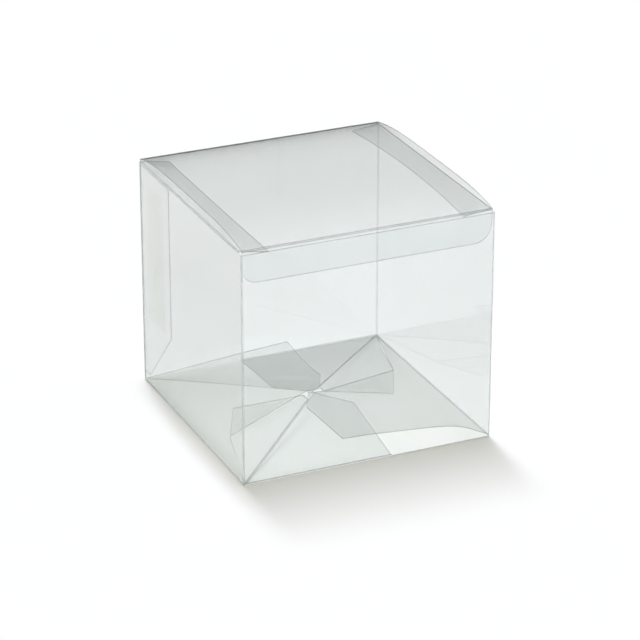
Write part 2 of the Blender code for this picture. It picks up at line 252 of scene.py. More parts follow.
@dataclass(frozen=True)
class DieCutEdge:
    """Rim of the PVC sheet where a steel rule cut it.

    The eye sees a fine, slightly rough band that looks grey and glints.
    """

    name: str = "die_cut_pvc_edge"
    colour: str = "#7C8381"
    ior: float = 1.54
    roughness: float = 0.22
    cover: float = 0.65

    def build(self) -> bpy.types.Material:
        """Makes the material of the rims.

        Returns:
            A material of half-clear grey plastic.
        """
        material, tree, output = new_material(self.name)
        clear = add_node(tree, "ShaderNodeBsdfTransparent", {}, {"Color": (1, 1, 1, 1)})
        grey = add_node(tree, "ShaderNodeBsdfPrincipled", {}, {
            "Base Color": linear(self.colour), "Roughness": self.roughness, "IOR": self.ior})
        rim = add_node(tree, "ShaderNodeMixShader", {}, {
            0: self.cover, 1: clear.outputs[0], 2: grey.outputs[0]})
        tree.links.new(rim.outputs[0], output.inputs["Surface"])
        return material


@dataclass(frozen=True)
class PressedPvc:
    """PVC sheet in a pressed crease: stretched and a little white along its ridge, with painted shade on its
    flanks.

    The eye sees a line along each fold. The dark flanks are painted shade, the dark line that a fold in clear
    sheet shows.
    A pale ridge is real whitening with a painted glint, and a dark ridge is painted shade. The grey mirror tint
    is painted shade in what the fold mirrors. Cover is how much of it is strained plastic with painted light
    and shade, and not clear sheet.
    """

    name: str = "pressed_pvc_crease"
    face_tint: str = "#F9FAFA"
    mirror_tint: str = "#B4B8B6"
    ior: float = 1.54
    gloss_roughness: float = 0.12
    flank_shade_colour: str = "#6F7674"
    flank_cover: float = 0.20
    ridge_colour: str = "#FDFEFE"
    ridge_cover: float = 0.20
    flank_end: float = 0.25
    ridge_start: float = 0.50
    strained_roughness: float = 0.35

    def build(self) -> bpy.types.Material:
        """Makes the material of the folds.

        Returns:
            A material whose cover and colour follow the piece's own "pressed" attribute.
        """
        material, tree, output = new_material(self.name)
        # Flanks take painted shade; a pale ridge is real whitening with a painted glint, a dark ridge is
        # painted shade.
        pressed = add_node(tree, "ShaderNodeAttribute", {"attribute_name": "pressed"})
        ridge_share = add_node(tree, "ShaderNodeMapRange", {}, {
            "Value": pressed.outputs["Fac"], "From Min": self.flank_end, "From Max": self.ridge_start})
        colour = add_node(tree, "ShaderNodeMix", {"data_type": "RGBA"}, {
            0: ridge_share.outputs["Result"], 6: linear(self.flank_shade_colour), 7: linear(self.ridge_colour)})
        cover = add_node(tree, "ShaderNodeMapRange", {}, {
            "Value": ridge_share.outputs["Result"], "To Min": self.flank_cover, "To Max": self.ridge_cover})
        clear = add_node(tree, "ShaderNodeBsdfTransparent", {}, {"Color": linear(self.face_tint)})
        # The grey mirror tint is painted shade in what the fold mirrors.
        mirror = add_node(tree, "ShaderNodeBsdfAnisotropic", {}, {
            "Color": linear(self.mirror_tint), "Roughness": self.gloss_roughness})
        sheet = add_node(tree, "ShaderNodeMixShader", {}, {
            0: fresnel_share(tree, self.ior), 1: clear.outputs[0], 2: mirror.outputs[0]})
        strained = add_node(tree, "ShaderNodeBsdfPrincipled", {}, {
            "Base Color": colour.outputs[2], "Roughness": self.strained_roughness, "IOR": self.ior})
        whole = add_node(tree, "ShaderNodeMixShader", {}, {
            0: cover.outputs["Result"], 1: sheet.outputs[0], 2: strained.outputs[0]})
        tree.links.new(whole.outputs[0], output.inputs["Surface"])
        return material


@dataclass(frozen=True)
class DriedGlue:
    """Clear glue film between two layers. It wets both, so it hardly mirrors and only just shows."""

    name: str = "dried_clear_glue"
    face_tint: str = "#FEFEFD"
    cloud_colour: str = "#F3F2EC"
    cloud: float = 0.02
    cloud_roughness: float = 0.3
    drop_mm: float = 6

    def build(self) -> bpy.types.Material:
        """Makes the material of the glue films.

        Returns:
            A nearly clear material with a faint cloud in it.
        """
        material, tree, output = new_material(self.name)
        place = add_node(tree, "ShaderNodeTexCoord")
        drops = add_node(tree, "ShaderNodeTexNoise", {}, {
            "Vector": place.outputs["Object"], "Scale": 1 / (self.drop_mm * MM)})
        share = add_node(tree, "ShaderNodeMath", {"operation": "MULTIPLY"}, {
            0: drops.outputs["Fac"], 1: self.cloud})
        clear = add_node(tree, "ShaderNodeBsdfTransparent", {}, {"Color": linear(self.face_tint)})
        cloudy = add_node(tree, "ShaderNodeBsdfPrincipled", {}, {
            "Base Color": linear(self.cloud_colour), "Roughness": self.cloud_roughness})
        whole = add_node(tree, "ShaderNodeMixShader", {}, {
            0: share.outputs[0], 1: clear.outputs[0], 2: cloudy.outputs[0]})
        tree.links.new(whole.outputs[0], output.inputs["Surface"])
        return material


# Sheet geometry


def chain(knots: list[tuple[float, float]], steps: np.ndarray) -> np.ndarray:
    """Points along a broken line: straight between knots, one knot for each whole step.

    Args:
        knots: plan points (x, y).
        steps: places along the line, counted in knots.

    Returns:
        Array of plan points.
    """
    points = np.array(knots)
    index = np.arange(len(points))
    return np.stack([np.interp(steps, index, points[:, k]) for k in range(2)], axis=-1)


def spline(knots: list[tuple[float, float]], steps: np.ndarray) -> np.ndarray:
    """Points along a smooth curve through the knots: a cubic between each pair, whose slope at a knot is half
    the way from the knot before it to the knot after it.

    Args:
        knots: plan points (x, y).
        steps: places along the curve, counted in knots.

    Returns:
        Array of plan points.
    """
    points = np.array(knots)
    slopes = np.gradient(points, axis=0)
    start = np.clip(np.floor(steps).astype(int), 0, len(points) - 2)
    share = (steps - start)[:, None]
    p0, p1, m0, m1 = points[start], points[start + 1], slopes[start], slopes[start + 1]
    return ((2 * share ** 3 - 3 * share ** 2 + 1) * p0 + (share ** 3 - 2 * share ** 2 + share) * m0
            + (3 * share ** 2 - 2 * share ** 3) * p1 + (share ** 3 - share ** 2) * m1)


def knot_steps(spans: int, per_span: int, border: float) -> np.ndarray:
    """Even steps through each span between knots, with one more close to each end.

    Args:
        spans: number of spans.
        per_span: steps in each span.
        border: share of a span between an end and the extra step beside it.

    Returns:
        Rising array from 0 to the number of spans.
    """
    even = np.linspace(0, spans, spans * per_span + 1)
    return np.sort(np.concatenate([even, [border, spans - border]]))


def across(near: np.ndarray, far: np.ndarray, rows: int, border: float) -> np.ndarray:
    """Straight lines from one edge to the other, with a grid line at a fixed width inside each edge.

    A point of line j is near[j] + share * (far[j] - near[j]). The shares are even, apart from the second and
    the last but one, which lie at the border's width from the edges.

    Args:
        near: points of the first edge, one for each line.
        far: points of the second edge, one for each line.
        rows: points on each line.
        border: width of the edge strips, in metres.

    Returns:
        Array of rows x lines x coordinates.
    """
    length = np.linalg.norm(far - near, axis=-1)
    inset = np.minimum(border / length, WIDEST_INSET)
    even = np.linspace(0, 1, rows - 2)[:, None]
    inner = inset + (1 - 2 * inset) * even
    shares = np.concatenate([np.zeros((1, len(length))), inner, np.ones((1, len(length)))])
    return near + shares[..., None] * (far - near)


def grid_quads(index: np.ndarray) -> np.ndarray:
    """Quads of a grid of point numbers, turned the way that rows then columns turn."""
    corners = (index[:-1, :-1], index[1:, :-1], index[1:, 1:], index[:-1, 1:])
    return np.stack(corners, axis=-1).reshape(-1, 4)


@dataclass
class Sheet:
    """A piece of thin sheet, given by its mid-surface as a grid of points.

    Each point moves half the thickness along the surface's normal, both ways, and a band of quads closes the
    rim, so the sheet is one closed shell.

    Attributes:
        name: name of the piece.
        mid: rows x columns x 3 points of the mid-surface.
        thickness: thickness of the sheet, in metres.
        cut: whether the first row, the last row, the first column and the last column are cut edges.
        glued: one where it is glued to another layer, nought elsewhere.
        bent: how dark the painted shade line along a soft bend is, as a multiple of a cut edge's painted line.
    """

    name: str
    mid: np.ndarray
    thickness: float
    cut: tuple[bool, bool, bool, bool] = (True, True, True, True)
    glued: np.ndarray | float = 0.0
    bent: np.ndarray | float = 0.0

    def normals(self) -> np.ndarray:
        """Unit normals: the cross product of the grid's two directions."""
        normal = np.cross(np.gradient(self.mid, axis=0), np.gradient(self.mid, axis=1))
        return normal / np.linalg.norm(normal, axis=-1, keepdims=True)

    def edge_line(self) -> np.ndarray:
        """One on the border points of cut sides, where the material paints its shade line, nought elsewhere,
        for first row, last row, first column and last column."""
        line = np.zeros(self.mid.shape[:2])
        for is_cut, place in zip(self.cut, ((0,), (-1,), (slice(None), 0), (slice(None), -1))):
            if is_cut:
                line[place] = 1.0
        return line

    def pressed(self) -> np.ndarray:
        """How near a point is to the middle row: a half wave across the rows."""
        rows, columns = self.mid.shape[:2]
        wave = np.sin(pi * np.linspace(0, 1, rows))
        return np.repeat(wave[:, None], columns, axis=1)

    def build(self, faces: bpy.types.Material, rim: bpy.types.Material) -> bpy.types.Object:
        """Makes the object.

        Args:
            faces: material of the two faces.
            rim: material of the rim.

        Returns:
            The linked object, at the origin.
        """
        offset = self.normals() * self.thickness / 2
        count = self.mid.shape[0] * self.mid.shape[1]
        index = np.arange(count).reshape(self.mid.shape[:2])
        points = np.concatenate([(self.mid + offset).reshape(-1, 3), (self.mid - offset).reshape(-1, 3)])
        border = np.concatenate([index[:-1, 0], index[-1, :-1], index[:0:-1, -1], index[0, :0:-1]])
        ahead = np.roll(border, -1)
        sides = np.stack([border + count, ahead + count, ahead, border], axis=-1)
        upper = grid_quads(index)
        quads = np.concatenate([upper, upper[:, ::-1] + count, sides])
        mesh = bpy.data.meshes.new(self.name)
        mesh.from_pydata(points.tolist(), [], quads.tolist())
        mesh.materials.append(faces)
        mesh.materials.append(rim)
        first_row, last_row, first_column, last_column = self.cut
        rows, columns = self.mid.shape[0] - 1, self.mid.shape[1] - 1
        is_rim = np.repeat([first_column, last_row, last_column, first_row], [rows, columns, rows, columns])
        slots = np.concatenate([np.zeros(2 * len(upper), dtype=np.int32), is_rim.astype(np.int32)])
        mesh.polygons.foreach_set("material_index", slots)
        lines = np.maximum(self.edge_line(), self.bent)
        glued = np.broadcast_to(self.glued, self.mid.shape[:2])
        for attribute, values in (("edge_line", lines), ("pressed", self.pressed()), ("glued", glued)):
            layer = mesh.attributes.new(attribute, "FLOAT", "POINT")
            layer.data.foreach_set("value", np.tile(values.ravel(), 2).astype(np.float32))
        mesh.shade_smooth()
        mesh.set_sharp_from_angle(angle=SHARP_ANGLE)
        piece = bpy.data.objects.new(self.name, mesh)
        bpy.context.scene.collection.objects.link(piece)
        return piece


def fold_surface(start: np.ndarray, start_way: np.ndarray, end: np.ndarray, end_way: np.ndarray,
                 run: np.ndarray, rows: int = 9, columns: int = 24) -> np.ndarray:
    """Mid-surface of a rounded fold: a cubic curve from one panel's edge to the next, carried along the
    crease.

    The curve leaves each edge in that panel's own direction. Its handles are HANDLE_SHARE of the corner's
    leg, as in a quarter circle.

    Args:
        start: a point on the first panel's edge.
        start_way: unit vector in which the sheet leaves the first panel.
        end: the matching point on the second panel's edge.
        end_way: unit vector in which the sheet enters the second panel.
        run: vector along the crease.
        rows: points across the fold.
        columns: points along the crease.

    Returns:
        Array of rows x columns x 3.
    """
    leg = np.linalg.norm(end - start) / np.sqrt(2)
    handle_a = start + start_way * leg * HANDLE_SHARE
    handle_b = end - end_way * leg * HANDLE_SHARE
    t = np.linspace(0, 1, rows)[:, None]
    section = ((1 - t) ** 3 * start + 3 * (1 - t) ** 2 * t * handle_a + 3 * (1 - t) * t ** 2 * handle_b
               + t ** 3 * end)
    return section[:, None, :] + np.linspace(0, 1, columns)[None, :, None] * run


@dataclass(frozen=True)
class Datums:
    """Mid-planes, axes and sizes of the carton, read from the frame, and the few that its parts share, in
    metres and radians."""

    sheet: float
    wall_x: float
    wall_y: float
    foot_z: float
    setback: float
    front_top: float
    hinge_z: float
    dust_z: float
    tuck_y: float
    lid_half: float
    crown: float
    edge_strip: float = 0.45 * MM
    flap_rise: float = radians(7)
    free_foot_run: float = 71 * MM

    @classmethod
    def from_frame(cls) -> Datums:
        """Reads the datums from the nodes' boxes.

        Returns:
            The datums.
        """
        def middle(node: str, axis: int) -> float:
            """Middle of a node's box along an axis."""
            low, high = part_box(node)
            return (low[axis] + high[axis]) / 2

        right_low, right_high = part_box("right_wall")
        sheet = right_high[0] - right_low[0]
        foot_z = middle("front_foot_crease", 2)
        hinge_z = middle("lid_hinge_crease", 2)
        lid_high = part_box("lid_panel")[1]
        return cls(
            sheet=sheet, wall_x=middle("right_wall", 0), wall_y=middle("back_wall", 1), foot_z=foot_z,
            setback=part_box("back_wall")[0][2] - foot_z, front_top=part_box("front_wall")[1][2],
            hinge_z=hinge_z, dust_z=middle("left_dust_crease", 2), tuck_y=middle("tuck_crease", 1),
            lid_half=lid_high[0], crown=lid_high[2] - sheet / 2 - hinge_z)


def made_once(recipe: CalenderedPvc | DieCutEdge | PressedPvc | DriedGlue) -> Any:
    """Dataclass field that holds the material which a recipe builds."""
    return field(default_factory=recipe.build)


@dataclass
class Finishes:
    """Materials of the carton, made once and shared by its pieces."""

    sheet: bpy.types.Material = made_once(CalenderedPvc())
    front: bpy.types.Material = made_once(CalenderedPvc(
        name="calendered_rigid_pvc_front", shadow_tint="#B6B5A9"))
    back: bpy.types.Material = made_once(CalenderedPvc(
        name="calendered_rigid_pvc_back", shadow_tint="#E6E8E6"))
    seam: bpy.types.Material = made_once(CalenderedPvc(
        name="calendered_rigid_pvc_seam", face_tint="#FFFFFF", haze=0.006))
    # The left wall's mirror is dimmed: painted shade in its reflection of the floor beside it.
    left: bpy.types.Material = made_once(CalenderedPvc(
        name="calendered_rigid_pvc_left", mirror_tint="#D9D9D6", shadow_tint="#C4C3B8"))
    edge: bpy.types.Material = made_once(DieCutEdge())
    # Folds: dark flanks and dark ridges are painted shade, pale ridges real whitening with a painted glint,
    # grey mirror tints painted shade in what they mirror.
    corner: bpy.types.Material = made_once(PressedPvc(flank_cover=0.12, ridge_cover=0.3))
    back_corner: bpy.types.Material = made_once(PressedPvc(
        name="pressed_pvc_back_corner", flank_cover=0.06, ridge_cover=0.06))
    foot: bpy.types.Material = made_once(PressedPvc(
        name="pressed_pvc_foot_crease", flank_cover=0.04, ridge_cover=0.5, mirror_tint="#D4D6D5"))
    # The hinge crease is painted dark across its flanks and ridge: painted shade along the fold.
    hinge: bpy.types.Material = made_once(PressedPvc(
        name="pressed_pvc_hinge_crease", flank_cover=0.7, ridge_colour="#6F7573", ridge_cover=0.8))
    lid_fold: bpy.types.Material = made_once(PressedPvc(name="pressed_pvc_lid_crease", flank_cover=0.5))
    # The diagonal crease's ridge is painted dark: painted shade along the fold.
    diagonal: bpy.types.Material = made_once(PressedPvc(
        name="pressed_pvc_diagonal_crease", flank_cover=0.0, ridge_colour="#6F7674", ridge_cover=0.35,
        flank_end=0.6, ridge_start=0.95))
    glue: bpy.types.Material = made_once(DriedGlue())

    def of_panel(self, node: str) -> bpy.types.Material:
        """Finish of a panel: its own, or that of the plain sheet."""
        own = {"front_wall": self.front, "back_wall": self.back, "left_wall": self.left,
               "seam_flap": self.seam}
        return own.get(node, self.sheet)

    def of_fold(self, node: str) -> bpy.types.Material:
        """Finish of a fold, by the kind of crease."""
        kinds = {"back_right_corner": self.back_corner, "corner": self.corner, "foot": self.foot,
                 "diagonal": self.diagonal, "hinge": self.hinge}
        return next((finish for kind, finish in kinds.items() if kind in node), self.lid_fold)


@dataclass
class SubAssembly:
    """Base of the sub-assemblies: it turns surfaces into pieces that ride on the frame."""

    at: Datums
    finishes: Finishes
    border_step: float = 0.03
    span_steps: int = 12

    def sheet_piece(self, node: str, mid: np.ndarray, body: Body,
                    cut: tuple[bool, bool, bool, bool] = (True, True, True, True),
                    glued: np.ndarray | float = 0.0, line: np.ndarray | float = 0.0) -> bpy.types.Object:
        """Makes a panel that stands for a node.

        Args:
            node: node that the panel replaces.
            mid: its mid-surface.
            body: body that it rides on.
            cut: which of its four sides are cut edges.
            glued: one where it is glued to another layer, nought elsewhere.
            line: one on a soft bend in it, where a shade line is painted, nought elsewhere.

        Returns:
            The piece.
        """
        sheet = Sheet(node + "_sheet", mid, self.at.sheet, cut, glued, line)
        piece = sheet.build(self.finishes.of_panel(node), self.finishes.edge)
        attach(piece, body.value)
        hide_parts(node)
        LOG.info("%s rides on %s", piece.name, body.value)
        return piece

    def fold_piece(self, node: str, mid: np.ndarray, bodies: tuple[Body, ...]) -> bpy.types.Object:
        """Makes a fold that stands for a crease: on one body, or on none where it joins two.

        Args:
            node: crease node that the fold replaces.
            mid: its mid-surface, whose rows run across the crease.
            bodies: the body that it rides on, or the two that it joins.

        Returns:
            The piece.
        """
        finish = self.finishes.of_fold(node)
        piece = Sheet(node + "_fold", mid, self.at.sheet).build(finish, finish)
        if len(bodies) == 1:
            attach(piece, bodies[0].value)
        else:
            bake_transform(piece)
        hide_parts(node)
        LOG.info("%s rides on %s", piece.name, " and ".join(body.value for body in bodies))
        return piece


@dataclass
class Walls(SubAssembly):
    """Four walls, their upright corner folds and the folds along their feet."""

    hollow: float = 0.25 * MM
    panel_rows: int = 22
    panel_columns: int = 34
    bare_foot_z: float = 0.12 * MM
    bare_foot_step: float = 0.05 * MM

    def wall_surface(self, along: tuple[float, float], top: float, foot: Callable[[np.ndarray], np.ndarray],
                     place: Callable[[np.ndarray, np.ndarray], np.ndarray]) -> np.ndarray:
        """Upright panel: its height runs from a foot line to its top, and it is hollow by a fraction of a
        millimetre, as (1 - a squared)(1 - b squared) of the two shares from its middle.

        Args:
            along: first and last place along the wall.
            top: height of the top edge.
            foot: height of the foot edge at each place along the wall.
            place: turns (place along, distance inwards) into plan points.

        Returns:
            Mid-surface.
        """
        half = (along[1] - along[0]) / 2
        runs = along[0] + half * knot_steps(2, self.panel_columns // 2, self.at.edge_strip / half)
        free, step = self.at.free_foot_run - self.at.wall_x, self.bare_foot_step
        runs = np.sort(np.concatenate([runs, [free - step, free + step, -free - step, -free + step]]))
        base = foot(runs)
        near = np.stack([runs, base], axis=-1)
        far = np.stack([runs, np.full_like(runs, top)], axis=-1)
        flat = across(near, far, self.panel_rows, self.at.edge_strip)
        share_a = (flat[..., 0] - along[0]) / half - 1
        share_b = 2 * (flat[..., 1] - base.min()) / (top - base.min()) - 1
        inwards = self.hollow * (1 - share_a ** 2) * (1 - share_b ** 2)
        plan = place(flat[..., 0], inwards)
        return np.concatenate([plan, flat[..., 1:]], axis=-1)

    def build(self) -> None:
        """Makes the walls and their folds."""
        at = self.at
        half_x, half_y = at.wall_x - at.setback, at.wall_y - at.setback
        foot, free = at.foot_z + at.setback, at.free_foot_run - at.wall_x
        front = self.wall_surface((-half_x, half_x), at.front_top,
                                  lambda x: np.where(x < free, foot, self.bare_foot_z),
                                  lambda x, d: np.stack([x, d - at.wall_y], axis=-1))
        back = self.wall_surface((-half_x, half_x), at.hinge_z - at.setback,
                                 lambda x: np.where(x > -free, foot, self.bare_foot_z),
                                 lambda x, d: np.stack([x, at.wall_y - d], axis=-1))
        self.sheet_piece("front_wall", front, Body.CARTON, (True, True, False, False))
        self.sheet_piece("back_wall", back, Body.CARTON, (False, False, False, False))
        for side in Side:
            surface = self.wall_surface(
                (-half_y, half_y), at.dust_z - at.setback, lambda y: np.full_like(y, foot),
                lambda y, d, s=side.value: np.stack([s * (at.wall_x - d), y], axis=-1))
            cut = (False, False, False, side is Side.LEFT)
            self.sheet_piece(f"{side.name.lower()}_wall", surface, Body.CARTON, cut)
        self.build_corners()
        self.build_feet()

    def build_corners(self) -> None:
        """Makes the three outer corner folds. The fourth corner is where the seam flap turns in."""
        at = self.at
        x, y = at.wall_x, at.wall_y
        inner_x, inner_y = x - at.setback, y - at.setback
        corners = {
            "front_left": ((-x, -inner_y), (0, -1), (-inner_x, -y), (1, 0), at.front_top),
            "front_right": ((inner_x, -y), (1, 0), (x, -inner_y), (0, 1), at.front_top),
            "back_right": ((x, inner_y), (0, 1), (inner_x, y), (-1, 0), at.hinge_z),
        }
        for name, (start, start_way, end, end_way, top) in corners.items():
            low = self.bare_foot_z
            mid = fold_surface(np.array([*start, low]), np.array([*start_way, 0]), np.array([*end, low]),
                               np.array([*end_way, 0]), np.array([0, 0, top - low]))
            self.fold_piece(name + "_corner_crease", mid, (Body.CARTON,))

    def build_feet(self) -> None:
        """Makes the fold between each wall and its bottom flap."""
        at = self.at
        rise = at.flap_rise
        inner_x, inner_y = at.wall_x - at.setback, at.wall_y - at.setback
        up = at.foot_z + at.setback
        low = at.foot_z + at.setback * tan(rise)
        into = np.array([0, cos(rise), sin(rise)])
        down = np.array([0, 0, -1])
        free = at.free_foot_run - at.wall_x
        front = fold_surface(np.array([-inner_x, -at.wall_y, up]), down, np.array([-inner_x, -inner_y, low]),
                             into, np.array([free + inner_x, 0, 0]))
        left = fold_surface(np.array([-at.wall_x, inner_y, up]), down, np.array([-inner_x, inner_y, low]),
                            into[[1, 0, 2]], np.array([0, -2 * inner_y, 0]))
        for near_name, far_name, mid in (("front", "back", front), ("left", "right", left)):
            self.fold_piece(near_name + "_foot_crease", mid, (Body.CARTON,))
            self.fold_piece(far_name + "_foot_crease", mid * [-1, -1, 1], (Body.CARTON,))


@dataclass
class Seam(SubAssembly):
    """Seam flap, which turns in from the back wall and is glued inside the left wall."""

    chamfer_rise: float = 30 * MM
    chamfer_run: float = 28 * MM
    rows: int = 20

    def build(self) -> None:
        """Makes the flap and the fold that it hangs on."""
        at = self.at
        low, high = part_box("seam_flap")
        x = (low[0] + high[0]) / 2
        back, front = high[1], low[1]
        steps = knot_steps(2, self.span_steps, self.border_step)
        foot_line = chain([(back, low[2]), (front + self.chamfer_run, low[2]),
                           (front, low[2] + self.chamfer_rise)], steps)
        top_line = chain([(back, high[2]), (front + self.chamfer_run, high[2]), (front, high[2])], steps)
        flat = across(foot_line, top_line, self.rows, at.edge_strip)
        mid = np.concatenate([np.full((*flat.shape[:2], 1), x), flat], axis=-1)
        self.sheet_piece("seam_flap", mid, Body.CARTON, (True, True, False, True), 1.0)
        start = np.array([-at.wall_x + at.setback, at.wall_y, at.foot_z])
        end = np.array([x, back, at.foot_z])
        fold = fold_surface(start, np.array([-1, 0, 0]), end, np.array([0, -1, 0]),
                            np.array([0, 0, at.hinge_z - at.foot_z]))
        self.fold_piece("back_left_corner_crease", fold, (Body.CARTON,))


@dataclass
class Bottom(SubAssembly):
    """Crash-lock bottom: two folded flaps with glue tabs, and two locking flaps that hook past the middle.

    Runs are measured along a wall and reaches away from it. A left flap's ear is given by its knots from the
    back wall and from its tip, and its sag by the slope that 2 mm makes 60 mm from the corner.
    """

    free_lean: float = radians(3)
    tab_corner_run: float = 67.5 * MM
    tab_corner_reach: float = 23 * MM
    tab_tip_cut: float = 5 * MM
    tab_bulge: float = 3.4 * MM
    tab_bulge_step: float = 0.60
    relief_run: float = 43 * MM
    relief_reach: float = 11.4 * MM
    neck: float = 3.5 * MM
    slot_half: float = 1.5 * MM
    hook: tuple[float, float] = (11 * MM, 17 * MM)
    tip: tuple[float, float] = (9.25 * MM, 52.25 * MM)
    ear_margin: float = 11.5 * MM
    layer_pitch: float = 0.6 * MM
    right_ear_hollow: float = 1.4 * MM
    right_ear_start: float = 2 * MM
    right_ear_middle: float = 12 * MM
    bend_knots: tuple[tuple[float, float], ...] = (
        (-47 * MM, 46.5 * MM), (-4.5 * MM, 4 * MM), (2 * MM, 5 * MM), (10.5 * MM, 20 * MM))
    bend_start_back: float = 1 * MM
    bend_strength: float = 2.5
    bend_end_step: float = 2.2
    ear_start: tuple[float, float] = (-46 * MM, -1.4 * MM)
    ear_end: tuple[float, float] = (-15 * MM, 2.6 * MM)
    ear_tip_rise: float = 1 * MM
    ear_turn: float = radians(8)
    sag_slope: float = 2 / 60
    diagonal_half_width: float = 0.45 * MM
    diagonal_height: float = 0.12 * MM
    lock_border_step: float = 0.05
    folded_rows: int = 14
    tab_rows: int = 30
    right_grid: tuple[int, int] = (64, 16)
    left_grid: tuple[int, int] = (50, 30)
    left_ear_rows: int = 40
    diagonal_grid: tuple[int, int] = (9, 40)

    def folded_height(self, x: np.ndarray, y: np.ndarray) -> np.ndarray:
        """Height of the front flap: it rises away from the front wall."""
        return self.at.foot_z + (y + self.at.wall_y) * tan(self.at.flap_rise)

    def tab_height(self, x: np.ndarray, y: np.ndarray) -> np.ndarray:
        """Height of the front flap's glue tab: it rises away from the left wall."""
        return self.at.foot_z + (x + self.at.wall_x) * tan(self.at.flap_rise)

    def lock_height(self, x: np.ndarray, y: np.ndarray) -> np.ndarray:
        """Height of the left flap: one layer over the tab."""
        return self.tab_height(x, y) + self.layer_pitch

    def sagged_height(self, x: np.ndarray, y: np.ndarray) -> np.ndarray:
        """Height of the left flap with a shallow sag behind the line from the back left corner to the middle.

        The sag is sag_slope * r * sin(pi * s), where r is the distance from that corner and s runs from 0 on
        the line to 1 along the flap's ear.
        """
        from_left, from_back = x + self.at.wall_x, self.at.wall_y - y
        turn = np.arctan2(from_back, from_left)
        share = np.clip((pi / 4 - turn) / (pi / 4 - self.ear_turn), 0, 1)
        return self.lock_height(x, y) - self.sag_slope * np.hypot(from_left, from_back) * np.sin(pi * share)

    def plan_surface(self, near: np.ndarray, far: np.ndarray, height: Height, rows: int) -> np.ndarray:
        """Lays the straight lines between two plan edges on a height function.

        Args:
            near: first edge in plan.
            far: second edge in plan.
            height: height at each plan point.
            rows: points on each line.

        Returns:
            Mid-surface.
        """
        plan = across(near, far, rows, self.at.edge_strip)
        return np.concatenate([plan, height(plan[..., 0], plan[..., 1])[..., None]], axis=-1)

    def folded_flap(self) -> np.ndarray:
        """Front flap between its foot, the diagonal crease and its leaning free side."""
        at = self.at
        side_gap = at.setback * np.sqrt(2)
        foot_y = -at.wall_y + at.setback
        free_x = at.free_foot_run - at.wall_x
        lean = tan(self.free_lean)
        top_x = (free_x + (at.wall_y - side_gap) * lean) / (1 + lean)
        start_x = -at.wall_x + at.setback + 2 * side_gap
        steps = knot_steps(2, self.span_steps, self.border_step)
        near = chain([(start_x, foot_y), (0, foot_y), (free_x + at.setback * lean, foot_y)], steps)
        far = chain([(start_x, start_x - side_gap), (0, -side_gap), (top_x, -top_x - side_gap)], steps)
        return self.plan_surface(near, far, self.folded_height, self.folded_rows)

    def tab(self) -> np.ndarray:
        """Glue tab between the diagonal crease and its far corner. Its far side bulges by tab_bulge at
        tab_bulge_step, and evenly less to nothing at the corner and as far before that step."""
        at = self.at
        side_gap = at.setback * np.sqrt(2)
        start_x = -at.wall_x + at.setback + side_gap
        corner = (-at.wall_x + self.tab_corner_reach, -at.wall_y + self.tab_corner_run)
        slant = self.tab_corner_reach / self.tab_corner_run
        low_x = -at.wall_x + (start_x + side_gap + at.wall_y) * slant
        steps = knot_steps(2, self.span_steps, self.border_step)
        near = chain([(start_x, start_x + side_gap), (-0.5 * at.wall_x, -0.5 * at.wall_x + side_gap),
                      (-self.tab_tip_cut, -self.tab_tip_cut + side_gap)], steps)
        far = chain([(low_x, start_x + side_gap + at.setback), corner, (-self.tab_tip_cut, 0)], steps)
        bulge = np.clip(1 - np.abs(steps - self.tab_bulge_step) / (1 - self.tab_bulge_step), 0, 1)
        far = far + bulge[:, None] * np.array([-self.tab_bulge, 0])
        return self.plan_surface(near, far, self.tab_height, self.tab_rows)

    def glued(self, tab: np.ndarray) -> np.ndarray:
        """One where the locking flap covers its tab, nought elsewhere, by the flap's edge from its relief to
        its neck.

        Args:
            tab: mid-surface of the front tab.

        Returns:
            Array of rows x columns.
        """
        relief = np.array([-self.at.wall_x + self.relief_reach, -self.at.wall_y + self.relief_run])
        edge = np.array([-self.neck, self.slot_half]) - relief
        from_relief = tab[..., :2] - relief
        return (edge[0] * from_relief[..., 1] > edge[1] * from_relief[..., 0]).astype(float)

    def lock_near(self, steps: np.ndarray) -> np.ndarray:
        """Front edge of the left flap in plan: relief at its corner, then the hook past the middle."""
        at = self.at
        return chain([(-at.wall_x + at.setback, -at.wall_y + at.setback),
                      (-at.wall_x + self.relief_reach, -at.wall_y + self.relief_run),
                      (-self.neck, self.slot_half), (self.neck, self.slot_half), self.hook], steps)

    def right_lock_flap(self) -> np.ndarray:
        """Right flap, as it lies before its half turn: flat, with a hollow ear along the front wall."""
        at = self.at
        steps = knot_steps(4, self.right_grid[1], self.lock_border_step)
        ear_y, hollow = at.wall_y - self.ear_margin, self.right_ear_hollow
        far = spline([(-at.wall_x + at.setback, at.wall_y - 2 * at.setback),
                      (-at.wall_x + self.relief_reach + self.right_ear_start, ear_y),
                      (-self.right_ear_middle, ear_y + hollow), (0, self.tip[1] - hollow), self.tip], steps)
        return self.plan_surface(self.lock_near(steps), far, self.lock_height, self.right_grid[0])

    def left_lock_flap(self) -> tuple[np.ndarray, np.ndarray]:
        """Left flap: its ear lies along the back wall, and it is softly bent from the back left corner to the
        middle.

        Returns:
            Mid-surface, and how near each point is to the bend, for the shade line painted there: one on it,
            nought elsewhere.
        """
        at = self.at
        steps = knot_steps(4, self.left_grid[1], self.lock_border_step)
        hinge_x, back_y = -at.wall_x + at.setback, at.wall_y - 2 * at.setback
        bend = chain([(hinge_x, back_y - self.bend_start_back), *self.bend_knots], steps)
        ear = chain([(hinge_x, back_y), (self.ear_start[0], back_y + self.ear_start[1]),
                     (self.ear_end[0], self.tip[1] + self.ear_end[1]), (0, self.tip[1] + self.ear_tip_rise),
                     self.tip], steps)
        front = across(self.lock_near(steps), bend, self.left_grid[0], at.edge_strip)
        back = across(bend, ear, self.left_ear_rows, at.edge_strip)
        plan = np.concatenate([front, back[1:]])
        line = np.zeros(plan.shape[:2])
